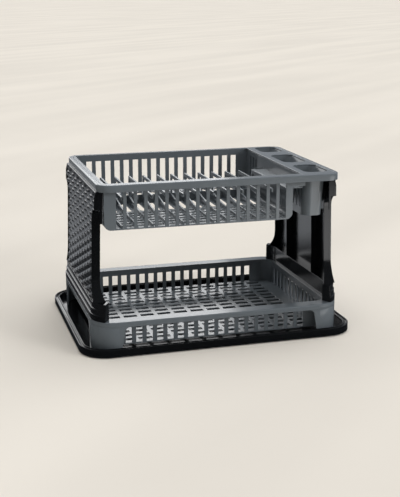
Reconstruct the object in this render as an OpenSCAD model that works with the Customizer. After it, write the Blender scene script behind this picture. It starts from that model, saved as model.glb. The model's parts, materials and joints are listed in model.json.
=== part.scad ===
// Two-tier dish rack of moulded plastic, in millimetres.
// A drip tray stands on the worktop, with its underside at z = 0. A low slotted basket
// stands in the tray, two side panels stand on the basket's rim, and an upper basket
// with plate fins and three cutlery cups rests on the panels' heads.
// X runs along the rack, towards the cutlery cups, Y runs from front to back.

/* [Drip tray] */
// Width of the tray over its rim
tray_w = 525; // [420:1:700]
// Depth of the tray over its rim
tray_d = 394; // [320:1:520]
// Height of the tray's rim above the worktop
tray_h = 16; // [8:0.5:30]
// How far the tray sits off the basket's middle, to the right and to the back
tray_shift = [2.5, 6]; // [0:0.5:10]
// Radius of the rim's corners, seen from above
tray_corner_r = 52; // [20:1:80]
// Width of the rolled rim, from its outer edge to the well
tray_rim_w = 10; // [5:0.5:20]
// Width of the raised bead along the rim's outer edge
tray_bead_w = 4.5; // [3:0.5:8]
// Gap between the worktop and the lip's lower edge
tray_lip_gap = 2; // [1:0.5:6]
// Depth of the step from the bead down to the rim's inner part
tray_step = 1.6; // [0.8:0.1:4]

/* [Lower basket] */
// How far the tray stands out past the lower basket, at the ends, and at front and back
tray_margin = [24.5, 17]; // [12:0.5:40]
// Height of the lower basket's rim above the worktop
lower_h = 62; // [40:1:120]
// Radius of the lower basket's corners, seen from above
lower_corner_r = 45; // [25:1:80]
// Width of the rim's flat top
lower_rim_w = 25; // [15:1:40]
// Height of the band that hangs from the rim's outer edge
lower_band_h = 9.7; // [5:0.1:20]
// Height of the basket's floor, at its top face
lower_floor_z = 15; // [8:0.5:30]
// Gap between the floor's ends and the arch in each foot, at the top of the arch
foot_reach = 56; // [30:1:90]
// How much each foot narrows from the arch's top down to the tray
foot_taper = 8; // [0:0.5:20]
// Radius of the arch's upper corners
arch_r = 9; // [2:0.5:20]
// Least length of solid wall at each end of a row of slots
lower_slot_end = 11; // [5:0.5:30]
// Distance from one wall slot to the next
lower_slot_pitch = 19.6; // [12:0.1:30]
// Width of a wall slot
lower_slot_w = 12; // [6:0.5:20]
// Distance from the rim's top down to the wall slots
lower_slot_drop = 12; // [6:0.5:30]
// How far the row of slots in the front and back walls sits off the middle
lower_slot_shift = -4.5; // [-10:0.5:10]
// Least width of solid floor at the ends, and at the front and back
floor_edge = [20, 9]; // [3:0.5:40]
// Distance between the floor's columns and between its rows
floor_pitch = [34, 21.5]; // [10:0.5:50]
// Length and width of a floor slot
floor_slot = [26, 11]; // [5:0.5:40]

/* [Side panels] */
// Distance from the lower basket's end in to a panel's outer face, at the panel's top
panel_inset = 12; // [9:0.5:25]
// Angle at which the panels lean, wider towards the foot
panel_lean = 1.64; // [0:0.01:5]
// Distance from the upper rim's edge in to the head's front and back ends
head_inset = 12.75; // [5:0.25:30]
// Radius of the neck, which is also how much the waist is narrower than the head
neck_r = 22.5; // [5:0.5:50]
// Height of the head
head_h = 32; // [15:1:70]
// Depth of the head and of the ledge that carries the upper basket
head_in = 13; // [6:0.5:25]
// Radius of the curve in which the waist flares to the foot
flare_r = 66; // [30:1:120]
// Height of the foot block
base_h = 32; // [10:1:60]
// How far the foot block wraps round the corner of the basket, along X
base_wrap = 21; // [10:1:60]
// Depth of one of the ridges round the foot block
base_ridge = 1.8; // [0.5:0.1:5]
// Width of the flanges that turn in along the waist's edges
flange_in = 13.5; // [6:0.5:30]
// Distance from the panel's top down to the flanges' rounded tops
flange_drop = 36; // [30:1:80]
// Radius of the flanges' rounded tops
flange_r = 7; // [2:0.5:20]
// Radius in which a flange spreads to the foot block
flange_foot_r = 60; // [30:1:90]
// Width of the lug below the head's front end, and its distance from the outer face
lug = [4.5, 8.5]; // [2:0.5:12]
// How far the lug hangs below the head
lug_h = 25; // [5:0.5:60]
// Width of the raised edge that carries the cutlery deck
deck_ledge_w = 3.2; // [2.6:0.1:6]
// Gap between the ribs' upper ends and the upper basket
rib_gap = 4; // [1:0.5:20]
// Number of ridges round the foot block
foot_ridges = 3; // [1:1:6]
// Width of the foot block, from its outer face to its inner wall
foot_top_w = 20; // [15:0.5:24]
// Depth of the two upright ribs on the inner face
rib_in = 13; // [5:0.5:30]
// Shares of the panel's depth at which the two ribs stand
rib_shares = [0.26, 0.69]; // [0.1:0.01:0.9]

/* [Upper basket] */
// How much shorter the upper rim is than the lower one, at each end, and at front and back
upper_inset = [10, 11.25]; // [4:0.25:30]
// Height of the rim's top face above the worktop
upper_h = 309; // [250:1:420]
// How far the upper basket sits off the middle, towards the cutlery side
upper_shift = 5; // [-10:0.5:10]
// Radius of the rim's corners, seen from above
upper_corner_r = 24; // [10:1:60]
// Height of the rim's outer band
upper_band_h = 13; // [6:0.5:25]
// Depth of the basket below its rim
upper_deep = 83; // [40:1:140]
// Width of the rim at the left end, the front and the back
upper_rim_w = [14.5, 18, 12.5]; // [8:0.5:40]
// Width of the cutlery deck at the right end
deck_w = 74.5; // [40:0.5:120]
// Radius of the front wall's lower corners
tub_r = 12; // [4:0.5:25]
// Distance from one slot to the next in the front wall
front_slot_pitch = 19.08; // [12:0.01:30]
// Width of a slot in the front wall
front_slot_w = 13; // [6:0.5:20]
// Distance from one slot to the next in the back wall
back_slot_pitch = 19.3; // [12:0.01:30]
// Width of a slot in the back wall
back_slot_w = 11.7; // [6:0.1:20]
// Least length of solid wall at each end of the left wall's slots
end_slot_inset = 30; // [5:0.5:60]
// Distance from the rim's front edge back to the front wall
front_inset = 11.75; // [5:0.25:25]
// Length of solid front wall before its first slot, and the least after its last one
front_slot_inset = [21.5, 11]; // [5:0.5:40]
// Length of solid back wall before its first slot, and the least after its last one
back_slot_inset = [25.5, 25]; // [10:0.5:40]
// Distance from one slot to the next in the left wall
end_slot_pitch = 19.1; // [12:0.1:30]
// Width of the lip that the rim's top plate is joined to
rim_lip_w = 8; // [4:0.5:12]
// Radius of the corners of the opening over the plates
mouth_r = 7; // [2:0.5:20]
// Distance by which the divider's lower half stands in from the deck
divider_step = 17; // [0:0.5:40]
// Number of narrow slots near the divider's back end
divider_slots = 3; // [1:1:8]
// Width of a slot in the divider, and the distance between two
divider_slot = [7, 17]; // [3:0.5:30]
// Distance from the divider's last slot to the back wall
divider_slot_inset = 22; // [5:0.5:40]
// Width and height of the tab that joins the front wall to the cups
front_tab = [24, 19.5]; // [5:0.5:40]

/* [Plate fins] */
// Least distance from the last fin, which carries the shelf, to the divider's lower half
fin_end = 8; // [5:0.5:30]
// Distance from one fin to the next
fin_pitch = 28.1; // [15:0.1:50]
// Thickness of a fin
fin_t = 3.2; // [2:0.1:6]
// Distance from the rim's top down to the fins' top edge
fin_drop = 24; // [10:1:50]
// Distance from the fins' back end to the low wall
fin_gap = 10; // [4:1:40]
// Height of the bar along a fin's top edge
fin_bar_h = 7; // [4:0.5:20]
// Width of the upright post at a fin's back end
fin_post_w = 7; // [4:0.5:20]
// Share of the basket's depth that lies in front of the low wall
low_wall_share = 0.654; // [0.4:0.001:0.85]
// Height of the low wall above the floor
low_wall_h = 15; // [5:0.5:40]
// Distance from the left wall to the middle of the first fin
fin_inset = 29.5; // [15:0.5:50]
// Height of a fin's web at the front, and at the low wall, above the floor
fin_web_h = [5, 20]; // [2:0.5:40]
// Share of the distance from the front wall to the low wall where the web starts to rise
fin_web_share = 0.447; // [0.2:0.001:0.8]
// Width of the long floor slots between the fins
bay_slot_w = 12.5; // [4:0.5:20]
// Share of the distance from the front wall to the low wall where the long slots start
bay_slot_share = 0.626; // [0.3:0.001:0.9]
// Length and width of a cross slot
cross_slot = [19, 9]; // [4:0.5:24]
// Distance from one cross slot to the next
cross_pitch = 19.6; // [10:0.1:30]

/* [Cutlery cups] */
// Shares of the basket's depth at which the front, middle and back cups start
cup_front_shares = [0.082, 0.405, 0.787]; // [0.05:0.001:0.9]
// Shares of the basket's depth that the three cups' mouths take up
cup_depth_shares = [0.234, 0.272, 0.184]; // [0.1:0.001:0.35]
// Width of a cup's mouth
cup_w = 47; // [25:0.5:90]
// Radius of a mouth's corners
cup_r = 15; // [5:0.5:30]
// Gap between the divider's face and the cups' mouths
cup_inset = 14.5; // [5:0.5:30]
// Height of the flared mouth, down to the cup's body
cup_flare_h = 16; // [5:0.5:40]
// Shares of the mouth's width and depth that are left below the flare
cup_neck_share = [0.85, 0.92]; // [0.5:0.01:1]
// Shares of the neck's width and depth that are left at the cup's bottom
cup_base_share = [0.9, 0.93]; // [0.5:0.01:1]
// Number of drain slots in a cup's left side
cup_slots = 3; // [1:1:8]
// Width of a drain slot in a cup's side
cup_slot_w = 5; // [2:0.5:10]
// Depth of the cups below the rim's top
cup_deep = 84; // [40:1:140]
// Thickness of the cups' walls
cup_t = 2.2; // [1.5:0.1:4]
// Diameter of the drain holes in a cup's floor
cup_drain_d = 5; // [2:0.5:10]

/* [Walls] */
// Thickness of the baskets' walls
wall_t = 3; // [2:0.1:5]
// Thickness of floors, rim tops and bands
skin_t = 2.5; // [1.5:0.1:5]
// Thickness of the tray's skin
tray_t = 2.2; // [1.5:0.1:5]
// Radius of the rims' rounded outer edges
edge_r = 2.2; // [0.5:0.1:4]

/* [Colours] */
// Colour of the two baskets
basket_grey = "#5d6367"; // [#5d6367:Slate grey, #8a9094:Light grey]
// Colour of the tray and the panels
frame_black = "#141517"; // [#141517:Black, #2b2d30:Charcoal]

/* [Hidden] */
$fn = 64;
lower_w = tray_w - 2 * tray_margin[0];
lower_d = tray_d - 2 * tray_margin[1];
lower_top_z = lower_h - skin_t;
lower_slot_top = lower_h - lower_slot_drop;
arch_top = lower_h - lower_band_h;
lower_wall_out = lower_corner_r - lower_rim_w + wall_t;
lower_mid = [lower_w / 2 - lower_corner_r, lower_d / 2 - lower_corner_r];
upper_w = lower_w - 2 * upper_inset[0];
upper_d = lower_d - 2 * upper_inset[1];
upper_left = upper_shift - upper_w / 2;
upper_right = upper_shift + upper_w / 2;
upper_front = -upper_d / 2;
upper_back = upper_d / 2;
top_z = upper_h - skin_t;
tub_left = upper_left + upper_rim_w[0];
tub_out = tub_left - wall_t;
front_y = upper_front + front_inset;
tub_front = front_y + wall_t;
tub_back = upper_back - upper_rim_w[2];
deck_x = upper_right - deck_w;
tub_right = deck_x - divider_step;
tub_z = upper_h - upper_deep;
tub_floor = tub_z + skin_t;
fin_top = upper_h - fin_drop;
fin_first = tub_left + fin_inset;
fin_count = 1 + floor((tub_right - fin_end - fin_first) / fin_pitch);
fin_last = fin_first + (fin_count - 1) * fin_pitch;
low_wall_y = upper_front + low_wall_share * upper_d;
fin_back = low_wall_y - fin_gap;
fin_web_y = tub_front + fin_web_share * (low_wall_y - tub_front);
bay_slot_y = tub_front + bay_slot_share * (low_wall_y - tub_front);
cup_front = [for (share = cup_front_shares) upper_front + share * upper_d];
cup_d = [for (share = cup_depth_shares) share * upper_d];
band_z = upper_h - upper_band_h;
panel_t = skin_t;
panel_x = lower_w / 2 - panel_inset;
panel_top = band_z;
panel_ledge_z = panel_top - skin_t;
head_reach = upper_d / 2 - head_inset;
head_z = panel_top - head_h;
waist = head_reach - neck_r;
base_z = lower_h + base_h;
flange_z = panel_top - flange_drop;
flange_turn = 30;
flange_rise = flange_foot_r * sin(flange_turn);
flange_reach = flange_in + flange_foot_r * (1 - cos(flange_turn));
flare_turn = 45;
flare_z = base_z + flare_r * sin(flare_turn);
cup_left = deck_x + cup_inset;
cup_floor_z = upper_h - cup_deep;
curve_steps = 16;

// A rounded rectangle with its middle at the origin.
module rounded(w, d, r) {
    square([w, d - 2 * r], center = true);
    square([w - 2 * r, d], center = true);
    for (x = [-1, 1], y = [-1, 1])
        translate([x * (w / 2 - r), y * (d / 2 - r)]) circle(r);
}

// Sweeps a profile round a rounded rectangle. The profile's x is counted outwards from
// the middle of the corner's arc, and its y is height.
module swept_frame(w, d, r) {
    turns = [[1, 1, 0], [-1, 1, 90], [-1, -1, 180], [1, -1, 270]];
    for (t = turns)
        translate([t[0] * (w / 2 - r), t[1] * (d / 2 - r), 0])
            rotate([0, 0, t[2]]) rotate_extrude(angle = 90) children();
    for (m = [0, 1]) mirror([m, 0, 0]) side_bar(w / 2 - r, d / 2 - r) children();
    for (m = [0, 1]) mirror([0, m, 0]) rotate([0, 0, 90])
        side_bar(d / 2 - r, w / 2 - r) children();
}

// One straight side of a swept frame.
module side_bar(x, half) {
    translate([x, half, 0]) rotate([90, 0, 0]) linear_extrude(2 * half) children();
}

// Stands a drawing of X and Z up as a plate whose front face is at y.
module facing_front(y, t) {
    translate([0, y + t, 0]) rotate([90, 0, 0]) linear_extrude(t) children();
}

// Stands a drawing of Y and Z up as a plate whose left face is at x.
module facing_side(x, t) {
    translate([x, 0, 0]) rotate([90, 0, 90]) linear_extrude(t) children();
}

// A bar in section, from x0 to x1 and z0 to z1, with its upper outer corner rounded.
module rounded_bar(x0, x1, z0, z1, r) {
    translate([x0, z0]) square([x1 - x0 - r, z1 - z0]);
    translate([x0, z0]) square([x1 - x0, z1 - z0 - r]);
    translate([x1 - r, z1 - r]) intersection() {
        circle(r);
        square(r);
    }
}

// How many slots of width w fit in a length, at one pitch.
function slot_count(length, pitch, w) = floor((length + pitch - w) / pitch);

// A row of upright slots, the first with its left edge at x.
module slots(count, x, pitch, w, z0, z1) {
    for (i = [0 : count - 1]) translate([x + i * pitch, z0]) square([w, z1 - z0]);
}

// The tray's flat floor.
module tray_floor() {
    color(frame_black) translate([tray_shift[0], tray_shift[1], 0]) linear_extrude(tray_t)
        rounded(tray_w - 2 * tray_rim_w, tray_d - 2 * tray_rim_w, tray_corner_r - tray_rim_w);
}

// The well's wall, the stepped rim and the lip that hangs from its edge.
module tray_rim() {
    well = tray_corner_r - tray_rim_w;
    bead = tray_corner_r - tray_bead_w;
    ledge_z = tray_h - tray_step - tray_t;
    color(frame_black) translate([tray_shift[0], tray_shift[1], 0]) swept_frame(tray_w, tray_d, tray_corner_r) {
        union() {
            translate([well, 0]) square([tray_t, tray_h - tray_step]);
            translate([well, ledge_z]) square([tray_rim_w - tray_bead_w, tray_t]);
            rounded_bar(bead, tray_corner_r, ledge_z, tray_h, edge_r);
            translate([tray_corner_r - tray_t, tray_lip_gap])
                square([tray_t, ledge_z - tray_lip_gap]);
        }
    }
}

// The flat top of the lower basket's rim.
module lower_rim() {
    color(basket_grey) swept_frame(lower_w, lower_d, lower_corner_r)
        rounded_bar(lower_corner_r - lower_rim_w, lower_corner_r, lower_top_z, lower_h, edge_r);
}

// The band that hangs from the lower rim's outer edge.
module lower_band() {
    color(basket_grey) swept_frame(lower_w, lower_d, lower_corner_r)
        translate([lower_corner_r - wall_t, arch_top]) square([wall_t, lower_top_z - arch_top]);
}

// One straight half of a foot, drawn flat: its arch edge slants and ends in a fillet
// under the band. The middle is where the rim's corner begins.
module foot_half(half, middle) {
    knee = arch_top - arch_r;
    difference() {
        polygon([[half - arch_r, arch_top], [middle, arch_top], [middle, tray_t],
            [half + foot_taper, tray_t], [half, knee], [half - arch_r, knee]]);
        translate([half - arch_r, knee]) circle(arch_r);
    }
}

// A corner foot, a shell that follows the rim's corner from the tray up to the band.
module foot(sx, sy) {
    mirror([sx < 0 ? 1 : 0, 0, 0]) mirror([0, sy < 0 ? 1 : 0, 0]) {
        facing_front(lower_d / 2 - wall_t, wall_t)
            foot_half(lower_w / 2 - foot_reach, lower_mid[0]);
        facing_side(lower_w / 2 - wall_t, wall_t)
            foot_half(lower_d / 2 - foot_reach, lower_mid[1]);
        translate([lower_mid[0], lower_mid[1], 0]) rotate_extrude(angle = 90)
            translate([lower_corner_r - wall_t, tray_t]) square([wall_t, arch_top - tray_t]);
    }
}

module foot_front_left() { color(basket_grey) foot(-1, -1); }
module foot_front_right() { color(basket_grey) foot(1, -1); }
module foot_back_left() { color(basket_grey) foot(-1, 1); }
module foot_back_right() { color(basket_grey) foot(1, 1); }

// A straight inner wall of the lower basket, drawn flat.
module lower_wall_drawing(half, shift) {
    count = slot_count(2 * (half - lower_slot_end), lower_slot_pitch, lower_slot_w);
    row = count * lower_slot_pitch - (lower_slot_pitch - lower_slot_w);
    difference() {
        translate([-half, lower_floor_z - skin_t])
            square([2 * half, lower_top_z - lower_floor_z + skin_t]);
        slots(count, shift - row / 2, lower_slot_pitch, lower_slot_w, lower_floor_z,
            lower_slot_top);
    }
}

module lower_front_wall() {
    color(basket_grey) facing_front(-lower_mid[1] - lower_wall_out, wall_t)
        lower_wall_drawing(lower_mid[0], lower_slot_shift);
}

module lower_back_wall() {
    color(basket_grey) facing_front(lower_mid[1] + lower_wall_out - wall_t, wall_t)
        lower_wall_drawing(lower_mid[0], lower_slot_shift);
}

module lower_left_wall() {
    color(basket_grey) facing_side(-lower_mid[0] - lower_wall_out, wall_t)
        lower_wall_drawing(lower_mid[1], 0);
}

module lower_right_wall() {
    color(basket_grey) facing_side(lower_mid[0] + lower_wall_out - wall_t, wall_t)
        lower_wall_drawing(lower_mid[1], 0);
}

// The four rounded corners between the inner walls.
module lower_corner_walls() {
    turns = [[1, 1, 0], [-1, 1, 90], [-1, -1, 180], [1, -1, 270]];
    color(basket_grey) for (t = turns)
        translate([t[0] * lower_mid[0], t[1] * lower_mid[1], lower_floor_z - skin_t])
            rotate([0, 0, t[2]]) rotate_extrude(angle = 90)
                translate([lower_wall_out - wall_t, 0])
                    square([wall_t, lower_top_z - lower_floor_z + skin_t]);
}

// The lower basket's floor, a grid of slots.
module lower_floor() {
    inner_r = lower_wall_out - wall_t;
    size = [for (i = [0, 1]) 2 * (lower_mid[i] + inner_r)];
    count = [for (i = [0, 1])
        slot_count(size[i] - 2 * floor_edge[i], floor_pitch[i], floor_slot[i])];
    grid = [for (i = [0, 1]) (count[i] - 1) * floor_pitch[i]];
    color(basket_grey) translate([0, 0, lower_floor_z - skin_t]) linear_extrude(skin_t)
        difference() {
            rounded(size[0], size[1], inner_r);
            for (i = [0 : count[0] - 1], k = [0 : count[1] - 1])
                translate([i * floor_pitch[0] - grid[0] / 2, k * floor_pitch[1] - grid[1] / 2])
                    square(floor_slot, center = true);
        }
}

// The panel's edge along y from the foot block up to the head, on the side y > 0: the
// flare, the waist and the neck. It lies further out by grow.
function panel_edge(grow) = concat(
    [for (i = [0 : curve_steps]) let (turn = flare_turn * (1 - i / curve_steps))
        [waist + grow + flare_r * (1 - cos(turn)), flare_z - flare_r * sin(turn)]],
    [for (i = [0 : curve_steps]) let (turn = 90 * i / curve_steps)
        [waist + grow + neck_r * (1 - cos(turn)), head_z + neck_r * (sin(turn) - 1)]]
);

// A side panel seen from the end: head, neck, waist and flare.
module panel_outline() {
    edge = panel_edge(0);
    last = len(edge) - 1;
    polygon(concat(
        edge,
        [[head_reach, panel_top], [-head_reach, panel_top]],
        [for (i = [0 : last]) [-edge[last - i][0], edge[last - i][1]]]
    ));
}

// Leans the left panel's pieces about the outer edge of its ledge and trims their ends
// level, at the foot block and under the ledge.
module leaning() {
    intersection() {
        translate([-panel_x, 0, panel_ledge_z]) rotate([0, panel_lean, 0])
            translate([panel_x, 0, -panel_ledge_z]) children();
        translate([-tray_w, -tray_d, base_z])
            cube([2 * tray_w, 2 * tray_d, panel_ledge_z - base_z]);
    }
}

module panel_skin() { leaning() facing_side(-panel_x, panel_t) panel_outline(); }

// An end wall of the head, in section along Y, with the lug that hangs below it.
module head_end(y) {
    leaning() facing_front(y, panel_t) {
        translate([panel_t - panel_x, head_z]) square([head_in - panel_t, panel_top - head_z]);
        translate([lug[1] - panel_x, head_z - lug_h]) square([lug[0], lug_h]);
    }
}

// A flange that turns in along the panel's edge on the side y > 0. It follows the neck,
// the waist and the flare, has a rounded top, and spreads inwards to the foot block.
module waist_flange() {
    outer = panel_edge(0);
    inner = panel_edge(-panel_t);
    last = len(outer) - 1;
    leaning() intersection() {
        facing_side(panel_t - panel_x, flange_reach)
            polygon(concat(outer, [for (i = [0 : last]) inner[last - i]]));
        facing_front(0, tray_d) difference() {
            union() {
                rounded_bar(panel_t - panel_x, flange_in - panel_x, 0, flange_z, flange_r);
                translate([panel_t - panel_x, 0])
                    square([flange_reach - panel_t, base_z + flange_rise]);
            }
            translate([flange_in + flange_foot_r - panel_x, base_z + flange_rise])
                circle(flange_foot_r);
        }
    }
}

// The two upright ribs on the panel's inner face.
module panel_ribs() {
    rib_y = [for (share = rib_shares) (2 * share - 1) * head_reach];
    leaning() for (y = rib_y) facing_front(y - panel_t / 2, panel_t)
        translate([panel_t - panel_x, 0]) square([rib_in, tub_z - rib_gap]);
}

// The ridges round the foot block in section, which step in upwards, from an inner edge.
module ridged_wall(inner) {
    ridge_h = (base_z - lower_h) / foot_ridges;
    for (i = [0 : foot_ridges - 1]) translate([inner, lower_h])
        square([lower_corner_r - i * base_ridge - inner, (i + 1) * ridge_h]);
}

// The foot block in section: a ridged outer wall, a flat top and an inner wall.
module foot_section() {
    inner = lower_corner_r - foot_top_w;
    ridged_wall(lower_corner_r - foot_ridges * base_ridge - wall_t);
    translate([inner, base_z - skin_t])
        square([foot_top_w - (foot_ridges - 1) * base_ridge, skin_t]);
    translate([inner, lower_h]) square([skin_t, base_z - lower_h]);
}

// The straight foot block, which stands on the lower rim.
module panel_foot() {
    mirror([1, 0, 0]) side_bar(lower_mid[0], lower_mid[1]) foot_section();
}

// The foot block's front end, hollow from below, which wraps round the rim's corner and
// ends in a web.
module panel_foot_end() {
    turn = acos((lower_corner_r - base_wrap) / lower_corner_r);
    web_turn = asin(wall_t / lower_corner_r);
    inner = lower_corner_r - foot_top_w + skin_t;
    outer = lower_corner_r - foot_ridges * base_ridge - wall_t;
    translate([-lower_mid[0], -lower_mid[1], 0]) rotate([0, 0, 180]) difference() {
        rotate_extrude(angle = turn) ridged_wall(lower_corner_r - foot_top_w);
        rotate([0, 0, -web_turn]) rotate_extrude(angle = turn)
            translate([inner, lower_h - skin_t]) square([outer - inner, base_z - lower_h]);
    }
}

module panel_foot_ends() {
    for (y = [0, 1]) mirror([0, y, 0]) panel_foot_end();
}

module left_panel_skin() { color(frame_black) panel_skin(); }
module left_panel_head_front() { color(frame_black) head_end(-head_reach); }
module left_panel_head_back() { color(frame_black) head_end(head_reach - panel_t); }
module left_panel_front_flange() { color(frame_black) mirror([0, 1, 0]) waist_flange(); }
module left_panel_back_flange() { color(frame_black) waist_flange(); }
module left_panel_ribs() { color(frame_black) panel_ribs(); }
module left_panel_foot() { color(frame_black) panel_foot(); }
module left_panel_foot_ends() { color(frame_black) panel_foot_ends(); }

// The ledge that carries the upper basket's left end.
module left_panel_ledge() {
    color(frame_black) translate([-panel_x, -head_reach, panel_ledge_z])
        cube([head_in, 2 * head_reach, skin_t]);
}

module right_panel_skin() { mirror([1, 0, 0]) left_panel_skin(); }
module right_panel_head_front() { mirror([1, 0, 0]) left_panel_head_front(); }
module right_panel_head_back() { mirror([1, 0, 0]) left_panel_head_back(); }
module right_panel_front_flange() { mirror([1, 0, 0]) left_panel_front_flange(); }
module right_panel_back_flange() { mirror([1, 0, 0]) left_panel_back_flange(); }
module right_panel_ribs() { mirror([1, 0, 0]) left_panel_ribs(); }
module right_panel_foot() { mirror([1, 0, 0]) left_panel_foot(); }
module right_panel_foot_ends() { mirror([1, 0, 0]) left_panel_foot_ends(); }

// The raised edge inside the rim, which carries the cutlery deck.
module right_panel_ledge() {
    reach = upper_d / 2 - upper_corner_r;
    color(frame_black) translate([panel_x - deck_ledge_w, -reach, panel_ledge_z])
        cube([deck_ledge_w, 2 * reach, top_z - panel_ledge_z]);
}

// The upper rim's rounded edge and the band that hangs from it.
module upper_rim_band() {
    r = upper_corner_r;
    color(basket_grey) translate([upper_shift, 0, 0]) swept_frame(upper_w, upper_d, r) {
        union() {
            rounded_bar(r - rim_lip_w, r, top_z, upper_h, edge_r);
            translate([r - skin_t, band_z]) square([skin_t, top_z - band_z]);
        }
    }
}

// The rim's flat top inside its rounded edge, with no openings.
module rim_field() {
    translate([upper_shift, 0])
        rounded(upper_w - 2 * rim_lip_w, upper_d - 2 * rim_lip_w, upper_corner_r - rim_lip_w);
}

// The flat top round the plates, open over them.
module upper_rim_top() {
    low = [tub_left, upper_front + upper_rim_w[1]];
    high = [deck_x, tub_back];
    color(basket_grey) translate([0, 0, top_z]) linear_extrude(skin_t) difference() {
        intersection() {
            rim_field();
            translate([deck_x - upper_w, -upper_d]) square([upper_w, 2 * upper_d]);
        }
        translate((low + high) / 2) rounded(high[0] - low[0], high[1] - low[1], mouth_r);
    }
}

// A cup's mouth, drawn from its left edge, larger by grow on every side.
module cup_mouth(i, grow) {
    translate([cup_w / 2, 0]) rounded(cup_w + 2 * grow, cup_d[i] + 2 * grow, cup_r + grow);
}

// The top over the cutlery side, with the three mouths.
module cutlery_deck() {
    color(basket_grey) translate([0, 0, top_z]) linear_extrude(skin_t) difference() {
        intersection() {
            rim_field();
            translate([deck_x, -upper_d]) square([upper_w, 2 * upper_d]);
        }
        for (i = [0 : 2])
            translate([cup_left, cup_front[i] + cup_d[i] / 2]) cup_mouth(i, 0);
    }
}

// A cup's body as a solid: a flared mouth over a slightly tapered pot.
module cup_solid(i, grow, floor_h) {
    pot_h = top_z - cup_flare_h - cup_floor_z - floor_h;
    mirror([0, 0, 1]) linear_extrude(cup_flare_h, scale = cup_neck_share, slices = 1)
        cup_mouth(i, grow, $fn = 32);
    translate([0, 0, -cup_flare_h]) mirror([0, 0, 1])
        linear_extrude(pot_h, scale = cup_base_share, slices = 1)
            scale(cup_neck_share) cup_mouth(i, grow, $fn = 32);
}

// A cutlery cup, with drain slots in its left side and its floor.
module cup(i) {
    depth = cup_d[i] * cup_neck_share[1] * cup_base_share[1];
    gap = depth / (cup_slots + 1);
    slot_top = top_z - cup_flare_h - cup_r;
    slot_h = slot_top - cup_floor_z - cup_r;
    translate([cup_left, cup_front[i] + cup_d[i] / 2, 0]) difference() {
        translate([0, 0, top_z]) difference() {
            cup_solid(i, cup_t, 0);
            cup_solid(i, 0, skin_t);
        }
        for (k = [1 : cup_slots]) {
            y = k * gap - depth / 2;
            translate([-cup_r, y - cup_slot_w / 2, cup_floor_z + cup_r])
                cube([cup_r + cup_t * 2, cup_slot_w, slot_h]);
            translate([cup_w * cup_neck_share[0] / 2, y, cup_floor_z - skin_t])
                cylinder(d = cup_drain_d, h = 3 * skin_t);
        }
    }
}

module front_cup() { color(basket_grey) cup(0); }
module middle_cup() { color(basket_grey) cup(1); }
module back_cup() { color(basket_grey) cup(2); }

// The front wall, with rounded lower corners, a row of slots and a tab to the cups.
module upper_front_wall() {
    length = tub_right - tub_out - front_slot_inset[0] - front_slot_inset[1];
    count = slot_count(length, front_slot_pitch, front_slot_w);
    color(basket_grey) facing_front(front_y, wall_t) difference() {
        union() {
            translate([tub_out, tub_z + tub_r])
                square([tub_right - tub_out, top_z - tub_z - tub_r]);
            translate([tub_out + tub_r, tub_z])
                square([tub_right - tub_out - 2 * tub_r, tub_r]);
            for (x = [tub_out + tub_r, tub_right - tub_r])
                translate([x, tub_z + tub_r]) circle(tub_r);
            translate([tub_right, top_z - front_tab[1]]) square(front_tab);
        }
        slots(count, tub_out + front_slot_inset[0], front_slot_pitch, front_slot_w,
            tub_floor, band_z);
    }
}

// The back wall, from the left wall to the divider, with a row of slots.
module upper_back_wall() {
    length = deck_x + wall_t - tub_out - back_slot_inset[0] - back_slot_inset[1];
    count = slot_count(length, back_slot_pitch, back_slot_w);
    color(basket_grey) facing_front(tub_back, wall_t) difference() {
        translate([tub_out, tub_z]) square([deck_x + wall_t - tub_out, top_z - tub_z]);
        slots(count, tub_out + back_slot_inset[0], back_slot_pitch, back_slot_w,
            tub_floor, band_z);
    }
}

// The left wall, above the tub's rounded lower edge.
module upper_left_wall() {
    length = tub_back - tub_front - 2 * end_slot_inset;
    count = slot_count(length, end_slot_pitch, back_slot_w);
    row = count * end_slot_pitch - (end_slot_pitch - back_slot_w);
    color(basket_grey) facing_side(tub_out, wall_t) difference() {
        translate([tub_front, tub_z + tub_r])
            square([tub_back - tub_front, top_z - tub_z - tub_r]);
        slots(count, -row / 2, end_slot_pitch, back_slot_w, tub_z + tub_r + skin_t, band_z);
    }
}

// The wall between the plates and the cutlery: shallow along the fins, deep behind them.
module divider_wall() {
    z0 = fin_top - skin_t;
    last = tub_back - divider_slot_inset - divider_slot[0];
    color(basket_grey) facing_side(deck_x, wall_t) difference() {
        union() {
            translate([tub_front, z0]) square([tub_back - tub_front, top_z - z0]);
            translate([low_wall_y, tub_z]) square([tub_back - low_wall_y, top_z - tub_z]);
        }
        slots(divider_slots, last - (divider_slots - 1) * divider_slot[1], divider_slot[1],
            divider_slot[0], tub_floor + low_wall_h, band_z);
    }
}

// The divider's lower half along the fins, set in towards the plates.
module divider_foot() {
    z0 = tub_z + tub_r;
    color(basket_grey) translate([tub_right - wall_t, tub_front, z0])
        cube([wall_t, low_wall_y - tub_front, fin_top - skin_t - z0]);
}

// The short cross wall where the divider steps back out behind the fins.
module divider_return() {
    color(basket_grey) translate([tub_right - wall_t, low_wall_y, tub_floor])
        cube([deck_x - tub_right + wall_t, wall_t, fin_top - tub_floor]);
}

// The flat shelf between the last fin and the divider.
module divider_shelf() {
    x0 = fin_last + fin_t / 2;
    color(basket_grey) translate([x0, tub_front, fin_top - skin_t])
        cube([deck_x - x0, fin_back - tub_front, skin_t]);
}

// The quarter ring that rounds the tub's lower right edge.
module floor_bend() {
    difference() {
        intersection() {
            circle(tub_r);
            translate([0, -tub_r]) square(tub_r);
        }
        circle(tub_r - skin_t);
    }
}

// The rounded lower edge at the tub's right end, along the fins.
module right_edge() {
    facing_front(tub_front, low_wall_y - tub_front)
        translate([tub_right - tub_r, tub_z + tub_r]) floor_bend();
}

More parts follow.
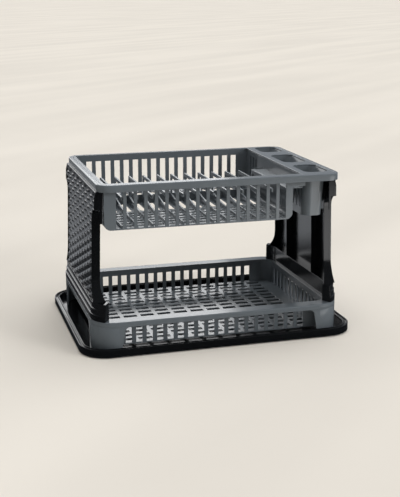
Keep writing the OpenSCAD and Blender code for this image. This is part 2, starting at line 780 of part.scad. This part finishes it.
// The tub's two rounded lower edges. The left one runs its whole depth.
module tub_edges() {
    color(basket_grey) right_edge();
    color(basket_grey) facing_front(tub_front, tub_back - tub_front)
        translate([tub_out + tub_r, tub_z + tub_r]) mirror([1, 0]) floor_bend();
}

// The openings in the floor of one bay, between two fins.
module bay_openings(x) {
    end = low_wall_y - skin_t;
    start = bay_slot_y + bay_slot_w / 2;
    room = bay_slot_y - tub_front - 2 * cross_slot[1];
    cross_slots = slot_count(room, cross_pitch, cross_slot[1]);
    translate([x - bay_slot_w / 2, start]) square([bay_slot_w, end - start]);
    translate([x, start]) circle(d = bay_slot_w);
    for (k = [0 : cross_slots - 1])
        translate([x - cross_slot[0] / 2, tub_front + cross_slot[1] + k * cross_pitch])
            square(cross_slot);
    translate([x - bay_slot_w / 2, low_wall_y + 2 * wall_t])
        square([bay_slot_w, tub_back - low_wall_y - 4 * wall_t]);
}

// The tub's flat floor, wider behind the low wall than along the fins.
module upper_floor() {
    x0 = tub_out + tub_r;
    color(basket_grey) translate([0, 0, tub_z]) linear_extrude(skin_t) difference() {
        union() {
            translate([x0, tub_front])
                square([tub_right - tub_r - x0, low_wall_y - tub_front]);
            translate([x0, low_wall_y]) square([deck_x - x0, tub_back - low_wall_y]);
        }
        for (k = [1 : fin_count - 1]) bay_openings(fin_first + (k - 0.5) * fin_pitch);
    }
}

// A plate fin seen from the side: a bar and a post over a web that sweeps up to the
// low wall.
module fin_drawing() {
    rise = fin_web_h[1] - fin_web_h[0];
    run = low_wall_y - fin_web_y;
    web = [for (i = [0 : curve_steps])
        [fin_web_y + run * i / curve_steps,
            tub_floor + fin_web_h[0] + rise * pow(i / curve_steps, 1.6)]];
    polygon(concat([[low_wall_y, tub_floor], [tub_front, tub_floor],
        [tub_front, tub_floor + fin_web_h[0]]], web));
    rounded_bar(tub_front, fin_back, fin_top - fin_bar_h, fin_top, fin_post_w / 2);
    translate([fin_back - fin_post_w, tub_floor])
        square([fin_post_w, fin_top - tub_floor - fin_post_w / 2]);
}

// The row of fins. The last one is trimmed where it meets the tub's rounded edge.
module plate_fins() {
    color(basket_grey) difference() {
        for (k = [0 : fin_count - 1])
            facing_side(fin_first + k * fin_pitch - fin_t / 2, fin_t) fin_drawing();
        right_edge();
    }
}

// The low wall that ties the fins together at the back.
module low_wall() {
    x0 = tub_out + tub_r;
    color(basket_grey) translate([x0, low_wall_y, tub_floor])
        cube([tub_right - tub_r - x0, wall_t, low_wall_h]);
}

tray_floor();
tray_rim();
lower_rim();
lower_band();
lower_floor();
lower_corner_walls();
lower_front_wall();
lower_back_wall();
lower_left_wall();
lower_right_wall();
foot_front_left();
foot_front_right();
foot_back_left();
foot_back_right();
left_panel_skin();
left_panel_ledge();
left_panel_head_front();
left_panel_head_back();
left_panel_front_flange();
left_panel_back_flange();
left_panel_ribs();
left_panel_foot();
left_panel_foot_ends();
right_panel_skin();
right_panel_ledge();
right_panel_head_front();
right_panel_head_back();
right_panel_front_flange();
right_panel_back_flange();
right_panel_ribs();
right_panel_foot();
right_panel_foot_ends();
upper_rim_band();
upper_rim_top();
cutlery_deck();
upper_front_wall();
upper_back_wall();
upper_left_wall();
divider_wall();
divider_foot();
divider_return();
divider_shelf();
upper_floor();
tub_edges();
plate_fins();
low_wall();
front_cup();
middle_cup();
back_cup();
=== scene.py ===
# %% [markdown]
# # A two-tier dish rack in moulded plastic
# The rack is five mouldings that stack: a black drip tray, a slate-grey slotted basket,
# two black side panels with a woven relief, and an upper basket with plate fins and
# cutlery cups. The solid parts come ready-made as a frame, in metres, with the worktop
# at z = 0. This script gives them their plastics and rounds their edges. It also adds
# what the solids leave plain: the weave on the side panels and the tray's rolled rim.

# %% The frame
import json
import math
import bpy
import numpy as np
from mathutils import Matrix, Vector


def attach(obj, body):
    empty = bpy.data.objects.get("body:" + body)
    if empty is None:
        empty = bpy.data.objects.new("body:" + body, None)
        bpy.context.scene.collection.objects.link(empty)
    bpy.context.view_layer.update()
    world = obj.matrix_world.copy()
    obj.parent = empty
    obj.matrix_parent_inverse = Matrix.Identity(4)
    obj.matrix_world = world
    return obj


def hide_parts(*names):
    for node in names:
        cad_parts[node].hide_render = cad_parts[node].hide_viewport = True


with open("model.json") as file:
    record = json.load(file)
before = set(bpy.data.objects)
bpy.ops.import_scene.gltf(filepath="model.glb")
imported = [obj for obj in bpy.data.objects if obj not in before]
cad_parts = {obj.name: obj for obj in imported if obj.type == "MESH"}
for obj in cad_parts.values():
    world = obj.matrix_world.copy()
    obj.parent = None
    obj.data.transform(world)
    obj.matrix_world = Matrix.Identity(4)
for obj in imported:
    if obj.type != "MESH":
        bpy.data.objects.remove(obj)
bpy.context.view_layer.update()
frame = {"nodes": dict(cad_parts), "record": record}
MM = 0.001
print("nodes in the frame:", len(frame["nodes"]))

# %% [markdown]
# ## The camera
# The lens was worked out from the picture's straight edges. The rack is seen from about
# 16 degrees to the left of square on and 15 degrees above, through a short telephoto,
# which keeps the two ends nearly the same size. The long side of the picture carries the
# sensor's width, so a focal length in pixels turns into millimetres through that side.

# %% The camera
IMAGE_LONG_SIDE = 497.0
FOCAL_PIXELS = 1007.0
SENSOR_MM = 36.0
CAMERA_PLACE = np.array([-534.2, -1852.0, 646.9]) * MM
AZIMUTH, PITCH, ROLL = (math.radians(a) for a in (16.36, 14.74, 0.10))


def camera_axes(azimuth, pitch, roll):
    """Right, up and backward axes of a camera that is turned from +Y towards +X by
    azimuth, tipped down by pitch, and rolled about its own line of sight."""
    forward = np.array([math.sin(azimuth) * math.cos(pitch),
                        math.cos(azimuth) * math.cos(pitch), -math.sin(pitch)])
    level = np.array([math.cos(azimuth), -math.sin(azimuth), 0.0])
    upright = np.cross(level, forward)
    right = math.cos(roll) * level + math.sin(roll) * upright
    up = math.cos(roll) * upright - math.sin(roll) * level
    return right, up, -forward


camera = bpy.data.objects.new("camera", bpy.data.cameras.new("camera"))
bpy.context.collection.objects.link(camera)
camera_matrix = np.eye(4)
camera_matrix[:3, :3] = np.array(camera_axes(AZIMUTH, PITCH, ROLL)).T
camera_matrix[:3, 3] = CAMERA_PLACE
camera.matrix_world = Matrix(camera_matrix.tolist())
camera.data.sensor_width = SENSOR_MM
camera.data.lens = FOCAL_PIXELS * SENSOR_MM / IMAGE_LONG_SIDE
bpy.context.scene.camera = camera
print("lens in mm:", round(camera.data.lens, 2))

# %% [markdown]
# ## Colour and nodes
# Colours are written as sRGB hex, the way a picture editor shows them, and one function
# turns them into the linear light that the shader works in. One small function adds a
# node, sets its sockets and links it, so that each material reads as a short recipe.

# %% Helpers for colour and nodes
def linear(code):
    """Linear RGBA of an sRGB hex colour."""
    part = np.array([int(code[i:i + 2], 16) for i in (1, 3, 5)]) / 255.0
    low, high = part / 12.92, ((part + 0.055) / 1.055) ** 2.4
    return (*np.where(part <= 0.04045, low, high), 1.0)


def add(tree, kind, settings=None, **inputs):
    """Adds a node of that kind. Settings are its own properties. Inputs are values or
    (node, output) pairs, by socket name with spaces as underscores, or by place as s0."""
    node = tree.nodes.new(kind)
    for name, value in (settings or {}).items():
        setattr(node, name, value)
    for name, value in inputs.items():
        place = int(name[1:]) if name[0] == "s" and name[1:].isdigit() else None
        socket = node.inputs[place if place is not None else name.replace("_", " ")]
        if isinstance(value, tuple) and isinstance(value[0], bpy.types.Node):
            tree.links.new(value[0].outputs[value[1]], socket)
        else:
            socket.default_value = value
    return node


def blank_material(name):
    """A new material that has no nodes yet, and its node tree."""
    material = bpy.data.materials.new(name)
    material.use_nodes = True
    material.node_tree.nodes.clear()
    return material, material.node_tree


print("middle grey in linear light:", round(linear("#808080")[0], 3))

# %% [markdown]
# ## The plastics
# Both plastics are polypropylene from a polished mould. It reflects like any plastic,
# with an IOR near 1.49, and has a fine ripple where the melt shrank unevenly, which
# breaks up its reflections. A faint cloudiness comes from the pigment. The mould's
# polishing marks make the gloss uneven; they are drawn as a speckle of two millimetres,
# coarser than real ones, so that it shows. Grey and black differ only in their pigment.

# %% The plastics
PLASTIC_IOR = 1.49
PLASTIC_ROUGHNESS = 0.17
CLOUD_MM = 71.43
SPECKLE_MM = 2.381
RIPPLE_MM = 9.0
RIPPLE_HEIGHT_MM = 0.05


def repeats(mm):
    """Texture scale of a pattern that repeats about every so many millimetres."""
    return 1.0 / (mm * MM)


def moulded_plastic(name, colour, cloud):
    """Moulded polypropylene: a base colour clouded towards a second one by slow noise, a
    patchy roughness, and a bump that ripples every few millimetres."""
    material, tree = blank_material(name)
    here = (add(tree, "ShaderNodeTexCoord"), "Object")
    slow = add(tree, "ShaderNodeTexNoise", Vector=here, Scale=repeats(CLOUD_MM), Detail=3.0)
    speckle = add(tree, "ShaderNodeTexNoise", Vector=here, Scale=repeats(SPECKLE_MM),
                  Detail=2.0)
    tint = add(tree, "ShaderNodeMix", {"data_type": "RGBA"}, Factor=(slow, "Fac"),
               s6=linear(colour), s7=linear(cloud))
    patch = add(tree, "ShaderNodeMapRange", Value=(speckle, "Fac"), From_Min=0.3,
                From_Max=0.7, To_Min=PLASTIC_ROUGHNESS * 0.85, To_Max=PLASTIC_ROUGHNESS * 1.2)
    ripple = add(tree, "ShaderNodeTexNoise", Vector=here, Scale=repeats(RIPPLE_MM),
                 Detail=2.0)
    bump = add(tree, "ShaderNodeBump", Height=(ripple, "Fac"), Strength=0.35,
               Distance=RIPPLE_HEIGHT_MM * MM)
    shader = add(tree, "ShaderNodeBsdfPrincipled", Base_Color=(tint, "Result"),
                 Roughness=(patch, "Result"), Normal=(bump, "Normal"), IOR=PLASTIC_IOR)
    add(tree, "ShaderNodeOutputMaterial", Surface=(shader, "BSDF"))
    return material


grey_plastic = moulded_plastic("slate_grey_polypropylene", "#5d646a", "#656c72")
black_plastic = moulded_plastic("black_polypropylene", "#08090b", "#0c0e10")
print("plastics:", grey_plastic.name, "and", black_plastic.name)

# %% [markdown]
# ## Plastic on the ready-made solids
# The record says which slot each solid takes its finish from. A real moulding has no
# sharp edge, because the melt can't fill one, so each solid gets a half-millimetre
# bevel, after its loose triangles are welded and its flat faces joined. The bevel is a
# modifier, so the solids themselves stay as they came.

# %% Plastic and rounded edges for the solids
EDGE_ROUND = 0.5 * MM
EDGE_SEGMENTS = 2
SHARP_ANGLE = math.radians(35)
FLAT_ANGLE = math.radians(0.5)
WELD_DISTANCE = 0.002 * MM

slot_of = {part["node"]: part["material_slot"] for part in frame["record"]["subparts"]}
for name, node in frame["nodes"].items():
    finish = black_plastic if slot_of[name] == "black_plastic" else grey_plastic
    node.data.materials.clear()
    node.data.materials.append(finish)
    for slot in node.material_slots:
        slot.material = finish
    weld = node.modifiers.new("weld", "WELD")
    weld.merge_threshold = WELD_DISTANCE
    flatten = node.modifiers.new("flatten", "DECIMATE")
    flatten.decimate_type = "DISSOLVE"
    flatten.angle_limit = FLAT_ANGLE
    rounding = node.modifiers.new("rounding", "BEVEL")
    rounding.width = EDGE_ROUND
    rounding.segments = EDGE_SEGMENTS
    rounding.limit_method = "ANGLE"
    rounding.angle_limit = SHARP_ANGLE
print("solids in black:", sum(slot == "black_plastic" for slot in slot_of.values()),
      "of", len(slot_of))

# %% [markdown]
# ## Surfaces from formulas
# Shells with a relief are made here as grids of points. A grid takes a function of two
# numbers, so a formula says where every point lies, and numpy works out all of them at
# once. Each piece is named, given its plastic and set to ride on its moulding.

# %% Helpers for surfaces
SHARP_EDGE_DEGREES = 40.0


def quads(place):
    """The four corners of every cell of a grid of vertex numbers, as an array (n, 4)."""
    return np.stack([place[:-1, :-1], place[:-1, 1:], place[1:, 1:], place[1:, :-1]],
                    -1).reshape(-1, 4)


def make_piece(name, points, faces, finish, body, replaced, sharp=SHARP_EDGE_DEGREES):
    """A mesh piece in metres from points in mm, with its plastic. It rides on a body and
    stands in for the replaced solids. Edges that turn more than sharp stay crisp."""
    mesh = bpy.data.meshes.new(name)
    mesh.from_pydata((np.asarray(points) * MM).tolist(), [], faces)
    mesh.materials.append(finish)
    mesh.shade_smooth()
    piece = bpy.data.objects.new(name, mesh)
    bpy.context.collection.objects.link(piece)
    mesh.set_sharp_from_angle(angle=math.radians(sharp))
    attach(piece, body)
    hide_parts(*replaced)
    print(name, "has", len(faces), "faces")


print("a grid of 3 by 3 points has", len(quads(np.arange(9).reshape(3, 3))), "cells")

# %% [markdown]
# ## The woven side panels
# Each panel is one flat moulding, wide at its head, narrower at the waist and flared
# towards the foot. It leans in by less than two degrees, because the upper basket is
# narrower than the lower one. Its edge could be traced point by point, but arcs and
# straight stretches from the panel's own sizes say the same and stay smooth. They give a
# half depth for every height.

# %% The panel's outline and its lean
PANEL_X = 226.0
PANEL_T = 2.5
PANEL_LEAN = math.radians(1.64)
PANEL_TOP = 296.0
LEDGE_Z = PANEL_TOP - PANEL_T
LEDGE_CLEAR = 0.1
BASE_Z = 94.0
HEAD_REACH = 156.0
HEAD_Z = 264.0
NECK_R = 22.5
WAIST = HEAD_REACH - NECK_R
FLARE_R = 66.0
FLARE_TURN = math.radians(45)
FLARE_Z = BASE_Z + FLARE_R * math.sin(FLARE_TURN)
GRID_STEP = 1.05
FLARE_ROWS, NECK_ROWS, HEAD_ROWS = 45, 24, 27


def panel_rows():
    """Half depth and height along the panel's edge, upwards. The flare is an arc of
    radius R that leaves the waist w upright, y = w + R (1 - cos t), z = zf - R sin t, and
    the neck is a quarter of a smaller arc that ends level under the head."""
    flare = np.linspace(FLARE_TURN, 0, FLARE_ROWS)
    neck = np.linspace(0, math.pi / 2, NECK_ROWS)
    waist = np.arange(FLARE_Z, HEAD_Z - NECK_R, GRID_STEP)[1:]
    head = np.linspace(HEAD_Z, LEDGE_Z + LEDGE_CLEAR, HEAD_ROWS)[1:]
    half = [WAIST + FLARE_R * (1 - np.cos(flare)), np.full(len(waist), WAIST),
            WAIST + NECK_R * (1 - np.cos(neck)), np.full(len(head), HEAD_REACH)]
    height = [FLARE_Z - FLARE_R * np.sin(flare), waist,
              HEAD_Z + NECK_R * (np.sin(neck) - 1), head]
    return np.concatenate(half), np.concatenate(height)


def leaned(points, side):
    """Turns points of the left panel by the lean about the outer edge of its ledge, and
    mirrors them where side is +1."""
    x, z = points[..., 0] + PANEL_X, points[..., 2] - LEDGE_Z
    turned = np.stack([x * math.cos(PANEL_LEAN) + z * math.sin(PANEL_LEAN) - PANEL_X,
                       points[..., 1],
                       z * math.cos(PANEL_LEAN) - x * math.sin(PANEL_LEAN) + LEDGE_Z], -1)
    turned[..., 0] *= -side
    return turned


print("rows up the panel:", len(panel_rows()[0]))

# %% [markdown]
# ## The weave
# The panel's outer face is moulded to look like wicker: short rounded strokes in slanting
# rows. It could be a bump in the material, but the strokes stand over 2 mm proud, catch
# the light one by one and roughen the panel's outline, so they are real geometry. Strokes
# repeat on a slanted grid, and the height within one cell of the grid comes from cosines.

# %% The height of the weave
STEP_ALONG = np.array([-28.0, 10.4])
STEP_ACROSS = np.array([28.0, 5.0])
CELL_AREA = STEP_ACROSS[0] * STEP_ALONG[1] - STEP_ACROSS[1] * STEP_ALONG[0]
RELIEF = 2.4
FLANK_POWER = 1.6


def weave_height(y, z):
    """Height of the strokes. Each point is written as so many steps along a stroke and so
    many across, counted from the middle of its cell. The height is RELIEF times the root
    of cos(pi along) times cos(pi across) to the power 1.6, so that a stroke is full over
    its length and narrow across, and falls to nothing at the cell's edges."""
    across = (y * STEP_ALONG[1] - z * STEP_ALONG[0]) / CELL_AREA
    along = (z * STEP_ACROSS[0] - y * STEP_ACROSS[1]) / CELL_AREA
    across, along = across - np.floor(across) - 0.5, along - np.floor(along) - 0.5
    full, narrow = (np.clip(np.cos(math.pi * c), 0, 1) for c in (along, across))
    return RELIEF * np.sqrt(full) * narrow ** FLANK_POWER


print("strokes on a panel, about:", round(2 * WAIST * (LEDGE_Z - BASE_Z) / CELL_AREA))

# %% [markdown]
# ## The panel's skin
# The woven face ends in a round bead along the front and back edges, which hides the cut
# ends of the strokes, and the relief fades out at the top, where the upper basket's rim
# meets a smooth edge. The back is flat. A flat grid could be given thickness by a
# modifier, but then its back would copy the relief, so front and back are joined here
# into one closed shell. The right panel is the left one mirrored.

# %% The panel's skin
EDGE_BEAD = 3.6
BEAD_SHARE = 0.9
TOP_FADE = 9.0


def closed_sheet(front, back):
    """Vertices and faces of a closed shell. Front is a grid (rows, columns, 3), and back
    holds for each row the two points behind the first and the last column. The back is
    flat across, so one face spans each of its rows."""
    rows, columns = front.shape[:2]
    place = np.arange(rows * columns).reshape(rows, columns)
    behind = rows * columns + np.arange(rows * 2).reshape(rows, 2)
    around = np.concatenate([place[:, -1:], behind[:, ::-1], place[:, :1]], 1)
    faces = np.concatenate([quads(place), quads(around)]).tolist()
    faces.append([*behind[0].tolist(), *place[0, ::-1].tolist()])
    faces.append([*behind[-1, ::-1].tolist(), *place[-1].tolist()])
    return np.concatenate([front.reshape(-1, 3), back.reshape(-1, 3)]), faces


def woven_skin(side, body, name):
    """The panel's skin. Its front grid has x = -PANEL_X - relief, where the relief is the
    weave's height, or within EDGE_BEAD of the front and back edges a half-round bead.
    Side is -1 on the left and +1 on the right."""
    half, height = panel_rows()
    columns = int(2 * HEAD_REACH / GRID_STEP)
    share = np.linspace(-1, 1, columns)
    y = half[:, None] * share[None, :]
    z = np.repeat(height[:, None], columns, 1)
    inset = half[:, None] * (1 - np.abs(share))[None, :]
    round_edge = np.sqrt(np.clip(1 - (inset / (EDGE_BEAD / 2) - 1) ** 2, 0, 1))
    relief = np.where(inset < EDGE_BEAD, BEAD_SHARE * RELIEF * round_edge, weave_height(y, z))
    relief = relief * np.clip((LEDGE_Z - z) / TOP_FADE, 0, 1)
    front = np.stack([-PANEL_X - relief, y, z], -1)
    back = np.stack([np.full((len(half), 2), PANEL_T - PANEL_X),
                     half[:, None] * np.array([-1.0, 1.0]),
                     np.repeat(height[:, None], 2, 1)], -1)
    points, faces = closed_sheet(leaned(front, side), leaned(back, side))
    if side < 0:
        faces = [face[::-1] for face in faces]
    make_piece(name, points, faces, black_plastic, body, (body + "_skin",))


for side, body in ((-1, "left_panel"), (1, "right_panel")):
    woven_skin(side, body, "woven_" + body)

# %% [markdown]
# ## A ring that follows the tray
# The tray is a rounded rectangle. Anything that runs round it, such as a bead, is a
# profile carried along that outline. A curve object with a bevel could do this too, but
# it tilts its profile at will. Here a centre moves along the sides and the outward
# direction turns only at the corners, which keeps the profile square to the edge.

# %% A profile carried round a rounded rectangle
CORNER_STEPS = 20
SIDE_STEPS = 6


def outline_frames(half, corner_r):
    """Centres and outward directions round a rounded rectangle: a quarter turn about each
    corner's centre, and along each side evenly spaced points between two centres."""
    centres, turns = [], []
    for k, (sx, sy) in enumerate(((1, 1), (-1, 1), (-1, -1), (1, -1))):
        centre = np.array([sx, sy]) * (half - corner_r)
        turn = np.linspace(0, math.pi / 2, CORNER_STEPS) + k * math.pi / 2
        centres.append(np.repeat(centre[None], CORNER_STEPS, 0))
        turns.append(turn)
        ahead = np.array([(-sx, sy), (sx, -sy)][k % 2]) * (half - corner_r)
        share = np.linspace(0, 1, SIDE_STEPS + 2)[1:-1, None]
        centres.append(centre + share * (ahead - centre))
        turns.append(np.full(SIDE_STEPS, turn[-1]))
    turn = np.concatenate(turns)
    return np.concatenate(centres), np.stack([np.cos(turn), np.sin(turn)], -1)


def swept_ring(profile, half, corner_r, middle):
    """A closed profile of (distance, height) points carried round a rounded rectangle, as
    vertices and faces. A vertex lies at middle + centre + distance times outward. The
    distance is counted outwards from the corner's centre."""
    centres, outward = outline_frames(half, corner_r)
    flat = middle + centres[:, None] + profile[None, :, :1] * outward[:, None]
    height = np.repeat(profile[None, :, 1:], len(centres), 0)
    points = np.concatenate([flat, height], -1)
    place = np.arange(points.shape[0] * points.shape[1]).reshape(points.shape[:2])
    place = np.concatenate([place, place[:1]], 0)
    place = np.concatenate([place, place[:, :1]], 1)
    return points.reshape(-1, 3), quads(place)[:, ::-1].tolist()


def arc(centre, radius, start, stop, steps=8):
    """Points on an arc about a centre, from a start to a stop angle in degrees."""
    turn = np.radians(np.linspace(start, stop, steps))
    return np.stack([centre[0] + radius * np.cos(turn), centre[1] + radius * np.sin(turn)], -1)


print("stations round the outline:", 4 * (CORNER_STEPS + SIDE_STEPS))

# %% [markdown]
# ## The tray's rolled rim
# The tray's edge is rolled over for stiffness: a narrow round bead on the outside, a deep
# groove that catches drips, and a second, lower bead where the well begins. The solid has
# this as plain steps. The profile here goes up the outer skirt, over the outer bead, down
# into the groove, over the inner bead, down the well's wall and back along the underside.

# %% The tray's rim
TRAY_HALF = np.array([262.5, 197.0])
TRAY_MIDDLE = np.array([2.5, 6.0])
TRAY_CORNER_R = 52.0
RIM_W = 10.0
OUTER_BEAD_R, OUTER_BEAD_TOP = 1.3, 16.0
INNER_BEAD_R, INNER_BEAD_TOP = 1.2, 15.4
GROOVE_R, GROOVE_FLOOR = 1.2, 12.0
GROOVE_ARC_STEPS = 6
RIM_UNDERSIDE = 10.4
SKIRT_T, SKIRT_FOOT = 2.1, 2.0
WELL_WALL_T = 2.2
CRISP_BEAD_DEGREES = 50.0


def rim_profile():
    """The rim's closed section as (distance, height) points, where distance is counted
    outwards from the corner's centre: two half circles with a round-bottomed groove."""
    outside, inside = TRAY_CORNER_R, TRAY_CORNER_R - RIM_W
    groove_z = GROOVE_FLOOR + GROOVE_R
    groove_out = outside - 2 * OUTER_BEAD_R - GROOVE_R
    groove_in = inside + 2 * INNER_BEAD_R + GROOVE_R
    return np.concatenate([
        np.array([[outside, SKIRT_FOOT]]),
        arc((outside - OUTER_BEAD_R, OUTER_BEAD_TOP - OUTER_BEAD_R), OUTER_BEAD_R, 0, 180),
        arc((groove_out, groove_z), GROOVE_R, 360, 270, GROOVE_ARC_STEPS),
        arc((groove_in, groove_z), GROOVE_R, 270, 180, GROOVE_ARC_STEPS),
        arc((inside + INNER_BEAD_R, INNER_BEAD_TOP - INNER_BEAD_R), INNER_BEAD_R, 0, 180),
        np.array([[inside, WELL_WALL_T], [inside, 0.0], [inside + WELL_WALL_T, 0.0],
                  [inside + WELL_WALL_T, RIM_UNDERSIDE], [outside - SKIRT_T, RIM_UNDERSIDE],
                  [outside - SKIRT_T, SKIRT_FOOT]])])


points, faces = swept_ring(rim_profile(), TRAY_HALF, TRAY_CORNER_R, TRAY_MIDDLE)
make_piece("rolled_tray_rim", points, faces, black_plastic, "drip_tray",
           ("tray_rim",), CRISP_BEAD_DEGREES)

# %% [markdown]
# ## The paper
# The rack stands on a sheet of cream paper that reaches as far back as the picture shows,
# so floor and background are one colour. Uncoated paper is matt and has no gloss to
# speak of, only a slow change of tone. Faint slanting streaks are the soft light and
# shade that fall across it. They could come from lamps behind a screen, but a stretched
# noise in the colour is cheaper and stays the same from every side.

# %% The paper's colour
STREAK_TURN = math.radians(41)
STREAK_METRES = (2.6, 0.30, 1.0)
PAPER_CLOUD_MM = 333.3

floor_material, tree = blank_material("cream_paper")
place = add(tree, "ShaderNodeTexCoord")
grain = add(tree, "ShaderNodeTexNoise", Vector=(place, "Object"),
            Scale=repeats(PAPER_CLOUD_MM), Detail=4.0)
clean_paper = add(tree, "ShaderNodeMix", {"data_type": "RGBA"}, Factor=(grain, "Fac"),
                  s6=linear("#dcd7cf"), s7=linear("#e0dbd3"))
streak_way = add(tree, "ShaderNodeMapping", {"vector_type": "TEXTURE"},
                 Vector=(place, "Object"), Rotation=(0.0, 0.0, STREAK_TURN),
                 Scale=STREAK_METRES)
streak = add(tree, "ShaderNodeTexNoise", Vector=(streak_way, "Vector"), Scale=1.0, Detail=1.0)
dapple = add(tree, "ShaderNodeMapRange", Value=(streak, "Fac"), From_Min=0.35, From_Max=0.65,
             To_Min=0.94, To_Max=1.01)
paper = add(tree, "ShaderNodeMix", {"data_type": "RGBA", "blend_type": "MULTIPLY"}, s0=1.0,
            s6=(clean_paper, "Result"), s7=(dapple, "Result"))
print("paper nodes so far:", len(tree.nodes))

# %% [markdown]
# ## What the plastic mirrors
# Glossy plastic mirrors what surrounds it, and in a studio that is mostly dark, with a few pale
# cards. So reflections see another colour of the floor than the eye does, and that colour is a
# painted reflection: dark paper near the rack, and a painted pale card that begins 0.4 m behind
# its middle and fades out on the left, which the plastic mirrors as a bright reflection. A
# second object that only reflections see could do this, but one mix in the paper's colour needs
# no extra piece.

# %% The paper in reflections
# Where the painted pale card lies on the paper. Only reflections see it.
CARD_NEAR_Y, CARD_FULL_Y = 0.38, 0.54
CARD_LEFT_X, CARD_FULL_X = -0.60, -0.15
spot = add(tree, "ShaderNodeSeparateXYZ", Vector=(place, "Object"))
depth = add(tree, "ShaderNodeMapRange", Value=(spot, "Y"), From_Min=CARD_NEAR_Y,
            From_Max=CARD_FULL_Y)
aside = add(tree, "ShaderNodeMapRange", Value=(spot, "X"), From_Min=CARD_LEFT_X,
            From_Max=CARD_FULL_X)
card = add(tree, "ShaderNodeMath", {"operation": "MULTIPLY"}, s0=(depth, "Result"),
           s1=(aside, "Result"))
# Painted reflection: glossy rays see dark paper, which turns into the painted pale card behind
# the rack.
mirrored = add(tree, "ShaderNodeMix", {"data_type": "RGBA"}, Factor=(card, "Value"),
               s6=linear("#3c3e42"), s7=linear("#ccd1d8"))
path = add(tree, "ShaderNodeLightPath")
colour = add(tree, "ShaderNodeMix", {"data_type": "RGBA"}, Factor=(path, "Is Glossy Ray"),
             s6=(paper, "Result"), s7=(mirrored, "Result"))
sheet = add(tree, "ShaderNodeBsdfDiffuse", Color=(colour, "Result"))
add(tree, "ShaderNodeOutputMaterial", Surface=(sheet, "BSDF"))
print("paper nodes in all:", len(tree.nodes))

# %% [markdown]
# ## The sheet
# The sheet is one large square, a hair below z = 0. At z = 0 it would lie in the plane
# of the tray's underside, and the two would flicker against each other.

# %% The sheet
FLOOR_HALF = 60.0
FLOOR_DROP = 0.2 * MM
mesh = bpy.data.meshes.new("floor")
corners = [(x * FLOOR_HALF, y * FLOOR_HALF, -FLOOR_DROP) for x, y in
           ((-1, -1), (1, -1), (1, 1), (-1, 1))]
mesh.from_pydata(corners, [], [(0, 1, 2, 3)])
mesh.materials.append(floor_material)
floor = bpy.data.objects.new("floor", mesh)
bpy.context.collection.objects.link(floor)
print("paper is", 2 * FLOOR_HALF, "m across")

# %% [markdown]
# ## The light all round
# The world gives even light, a little stronger from the front, where Y is negative. As
# with the floor, reflections see a dimmer, cooler room than the one that lights the rack,
# darkest behind the camera. The camera sees the paper's colour past the floor's end.

# %% The world
world = bpy.data.worlds.new("studio")
bpy.context.scene.world = world
world.use_nodes = True
world.node_tree.nodes.clear()
tree = world.node_tree
way = add(tree, "ShaderNodeSeparateXYZ", Vector=(add(tree, "ShaderNodeTexCoord"), "Generated"))
front = add(tree, "ShaderNodeMapRange", Value=(way, "Y"), From_Min=-0.6, From_Max=0.3,
            To_Min=0.54, To_Max=0.40)
sky = add(tree, "ShaderNodeBackground", Color=linear("#f6f3ee"), Strength=(front, "Result"))
shade = add(tree, "ShaderNodeMapRange", Value=(way, "Y"), From_Min=-0.3, From_Max=0.6,
            To_Min=0.14, To_Max=0.40)
dim_sky = add(tree, "ShaderNodeBackground", Color=linear("#dfe4ec"), Strength=(shade, "Result"))
path = add(tree, "ShaderNodeLightPath")
both = add(tree, "ShaderNodeMixShader", Fac=(path, "Is Glossy Ray"), s1=(sky, "Background"),
           s2=(dim_sky, "Background"))
backdrop = add(tree, "ShaderNodeBackground", Color=linear("#e4ded4"))
seen = add(tree, "ShaderNodeMixShader", Fac=(path, "Is Camera Ray"), s1=(both, "Shader"),
           s2=(backdrop, "Background"))
add(tree, "ShaderNodeOutputWorld", Surface=(seen, "Shader"))
print("world nodes:", len(tree.nodes))

# %% [markdown]
# ## Lamps for the reflections
# The bright rims and the gleam in the baskets are mirror images of pale panels behind the
# rack. Lamps that only reflections see give those images without burning out the paper:
# a wide one above, a faint one below it, and a card that lies on the floor to the right.

# %% Soft boxes
def soft_box(name, place, aim, size, power):
    """A rectangular lamp of that size in metres, at a place and aimed at a point. It
    doesn't light matt surfaces."""
    data = bpy.data.lights.new(name, "AREA")
    data.shape = "RECTANGLE"
    data.size, data.size_y = size
    data.energy = power
    lamp = bpy.data.objects.new(name, data)
    lamp.location = place
    direction = Vector(aim) - Vector(place)
    lamp.rotation_euler = direction.to_track_quat("-Z", "Y").to_euler()
    lamp.visible_diffuse = False
    bpy.context.collection.objects.link(lamp)
    return lamp


soft_box("mirror_light", (-0.5, 3.2, 1.58), (0.0, 0.0, 0.2), (3.6, 1.14), 37.0)
soft_box("strip_light", (-1.3, 3.2, 0.62), (-0.2, 0.0, 0.2), (2.0, 0.85), 8.0)
low_card = soft_box("low_card", (0.86, -0.87, 0.005), (0.86, -0.87, 1.0), (1.0, 1.0), 7.0)
low_card.visible_camera = False
print("seen in reflections:", [lamp.name for lamp in bpy.data.lights])

# %% [markdown]
# ## Windows for the matt surfaces
# Two distant lights do the rest: a broad one from nearly overhead, which makes the soft
# shadow under the tray, and a lower one from the right and in front, which lights the
# faces towards the camera. Being far off, they light the paper evenly to its end.

# %% Windows
def far_window(name, direction, width, power):
    """Even light from far away, along a direction, from a window that looks width degrees
    wide. Reflections don't show it."""
    lamp = bpy.data.objects.new(name, bpy.data.lights.new(name, "SUN"))
    lamp.data.energy = power
    lamp.data.angle = math.radians(width)
    lamp.rotation_euler = Vector(direction).to_track_quat("-Z", "Y").to_euler()
    lamp.visible_glossy = False
    bpy.context.collection.objects.link(lamp)


far_window("window", (-0.12, -0.14, -0.98), 65, 1.95)
far_window("key_light", (-5.0, 4.4, -2.2), 25, 1.22)
bpy.context.scene.view_settings.view_transform = "Standard"
print("lamps in the room:", len(bpy.data.lights))
